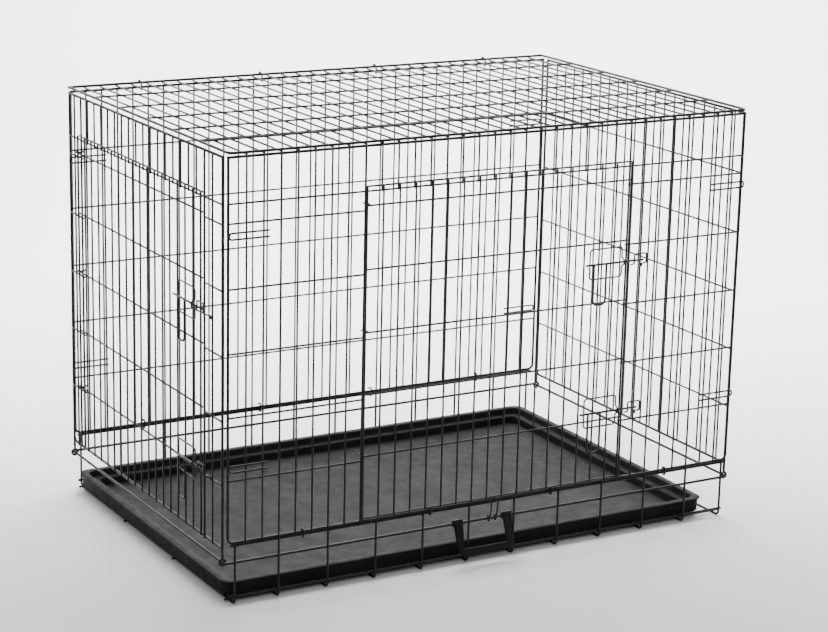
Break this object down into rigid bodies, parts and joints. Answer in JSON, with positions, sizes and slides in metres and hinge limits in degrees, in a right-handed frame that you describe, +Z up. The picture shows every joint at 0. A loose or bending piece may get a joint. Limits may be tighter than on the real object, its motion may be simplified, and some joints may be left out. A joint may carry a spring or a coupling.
{
  "type": "wire dog crate",
  "caption": "Folding wire dog crate with hinged panels, front and end doors with slide bolts, a slide-out pan and a carry handle.",
  "frame": {"origin": "middle of the crate's footprint, on the floor it stands on", "axes": "+X along the crate's length to the end without a door, +Y to the back, away from the side door, +Z up"},
  "size_m": [1.104, 0.7321, 0.8037],
  "materials": {
    "frame_wire": "satin black powder coat",
    "ring_wire": "satin black powder coat",
    "latch_wire": "satin black powder coat",
    "pan_plastic": "fine grained moulded plastic",
    "handle_plastic": "moulded plastic"
  },
  "bodies": {
    "base": {"base_basket": "frame_wire", "front_hinge_ring_1": "ring_wire", "front_hinge_ring_2": "ring_wire", "front_hinge_ring_3": "ring_wire", "front_hinge_ring_4": "ring_wire", "back_hinge_ring_1": "ring_wire", "back_hinge_ring_2": "ring_wire", "back_hinge_ring_3": "ring_wire", "back_hinge_ring_4": "ring_wire"},
    "pan": {"pan": "pan_plastic"},
    "front_panel": {"front_panel": "frame_wire", "front_door_hinge_ring_1": "ring_wire", "front_door_hinge_ring_2": "ring_wire", "front_door_hinge_ring_3": "ring_wire", "front_lower_keeper": "latch_wire", "front_upper_keeper": "latch_wire", "front_catch_a1": "frame_wire", "front_catch_a2": "frame_wire", "front_catch_b1": "frame_wire", "front_catch_b2": "frame_wire"},
    "back_panel": {"back_panel": "frame_wire", "back_catch_a1": "frame_wire", "back_catch_a2": "frame_wire", "back_catch_b1": "frame_wire", "back_catch_b2": "frame_wire", "top_hinge_ring_1": "ring_wire", "top_hinge_ring_2": "ring_wire", "top_hinge_ring_3": "ring_wire", "top_hinge_ring_4": "ring_wire"},
    "top_panel": {"top_panel": "frame_wire"},
    "left_end_panel": {"left_end_panel": "frame_wire", "left_end_door_hinge_ring_1": "ring_wire", "left_end_door_hinge_ring_2": "ring_wire", "left_end_door_hinge_ring_3": "ring_wire", "left_end_lower_keeper": "latch_wire", "left_end_upper_keeper": "latch_wire"},
    "right_end_panel": {"right_end_panel": "frame_wire"},
    "front_door": {"front_door": "frame_wire", "front_lower_guide": "latch_wire", "front_upper_guide": "latch_wire"},
    "left_end_door": {"left_end_door": "frame_wire", "left_end_lower_guide": "latch_wire", "left_end_upper_guide": "latch_wire"},
    "carry_handle": {"carry_handle": "handle_plastic"},
    "fold_clip": {"fold_clip": "latch_wire"},
    "front_lower_bolt": {"front_lower_bolt": "latch_wire"},
    "front_lower_handle": {"front_lower_handle": "latch_wire"},
    "left_end_lower_bolt": {"left_end_lower_bolt": "latch_wire"},
    "left_end_lower_handle": {"left_end_lower_handle": "latch_wire"},
    "front_upper_bolt": {"front_upper_bolt": "latch_wire"},
    "front_upper_handle": {"front_upper_handle": "latch_wire"},
    "left_end_upper_bolt": {"left_end_upper_bolt": "latch_wire"},
    "left_end_upper_handle": {"left_end_upper_handle": "latch_wire"}
  },
  "joints": [
    {"name": "left_end_fold", "type": "hinge", "parent": "base", "child": "left_end_panel", "pos_m": [-0.537, 0, 0.077], "axis": [0, 1, 0], "range_deg": [0, 88.5]},
    {"name": "right_end_fold", "type": "hinge", "parent": "base", "child": "right_end_panel", "pos_m": [0.537, 0, 0.077], "axis": [0, -1, 0], "range_deg": [0, 90]},
    {"name": "front_fold", "type": "hinge", "parent": "base", "child": "front_panel", "pos_m": [0, -0.3477, 0.113], "axis": [-1, 0, 0], "range_deg": [0, 90.5]},
    {"name": "back_fold", "type": "hinge", "parent": "base", "child": "back_panel", "pos_m": [0, 0.3462, 0.1145], "axis": [1, 0, 0], "range_deg": [0, 86.6]},
    {"name": "top_fold", "type": "hinge", "parent": "back_panel", "child": "top_panel", "pos_m": [0, 0.3553, 0.7977], "axis": [-1, 0, 0], "range_deg": [0, 270]},
    {"name": "front_door_swing", "type": "hinge", "parent": "front_panel", "child": "front_door", "pos_m": [-0.27365, -0.35815, 0.41201], "axis": [0, 0, 1], "range_deg": [-170, 0]},
    {"name": "left_end_door_swing", "type": "hinge", "parent": "left_end_panel", "child": "left_end_door", "pos_m": [-0.54745, 0.27402, 0.40569], "axis": [0, 0, 1], "range_deg": [-170, 0]},
    {"name": "pan_slide", "type": "slide", "parent": "base", "child": "pan", "axis": [1, 0, 0], "range_m": [-0.95, 0]},
    {"name": "carry_handle_swing", "type": "hinge", "parent": "base", "child": "carry_handle", "pos_m": [-0.0185, -0.3477, 0.077], "axis": [1, 0, 0], "range_deg": [-100, 0]},
    {"name": "fold_clip_swing", "type": "hinge", "parent": "base", "child": "fold_clip", "pos_m": [0.0035, -0.3477, 0.077], "axis": [1, 0, 0], "range_deg": [0, 110]},
    {"name": "front_lower_bolt_slide", "type": "slide", "parent": "front_door", "child": "front_lower_bolt", "axis": [1, 0, 0], "range_m": [-0.026, 0]},
    {"name": "front_lower_handle_turn", "type": "hinge", "parent": "front_lower_bolt", "child": "front_lower_handle", "pos_m": [0.23965, -0.36505, 0.25404], "axis": [1, 0, 0], "range_deg": [-150, 0]},
    {"name": "left_end_lower_bolt_slide", "type": "slide", "parent": "left_end_door", "child": "left_end_lower_bolt", "axis": [0, -1, 0], "range_m": [-0.026, 0]},
    {"name": "left_end_lower_handle_turn", "type": "hinge", "parent": "left_end_lower_bolt", "child": "left_end_lower_handle", "pos_m": [-0.55435, -0.24002, 0.23379], "axis": [0, -1, 0], "range_deg": [-150, 0]},
    {"name": "front_upper_bolt_slide", "type": "slide", "parent": "front_door", "child": "front_upper_bolt", "axis": [1, 0, 0], "range_m": [-0.026, 0]},
    {"name": "front_upper_handle_turn", "type": "hinge", "parent": "front_upper_bolt", "child": "front_upper_handle", "pos_m": [0.23965, -0.36505, 0.53725], "axis": [1, 0, 0], "range_deg": [-150, 0]},
    {"name": "left_end_upper_bolt_slide", "type": "slide", "parent": "left_end_door", "child": "left_end_upper_bolt", "axis": [0, -1, 0], "range_m": [-0.026, 0]},
    {"name": "left_end_upper_handle_turn", "type": "hinge", "parent": "left_end_upper_bolt", "child": "left_end_upper_handle", "pos_m": [-0.55435, -0.24002, 0.52144], "axis": [0, -1, 0], "range_deg": [-150, 0]}
  ],
  "couplings": [
    {"joint": "top_fold", "follows": "back_fold", "ratio": 3.1016}
  ]
}
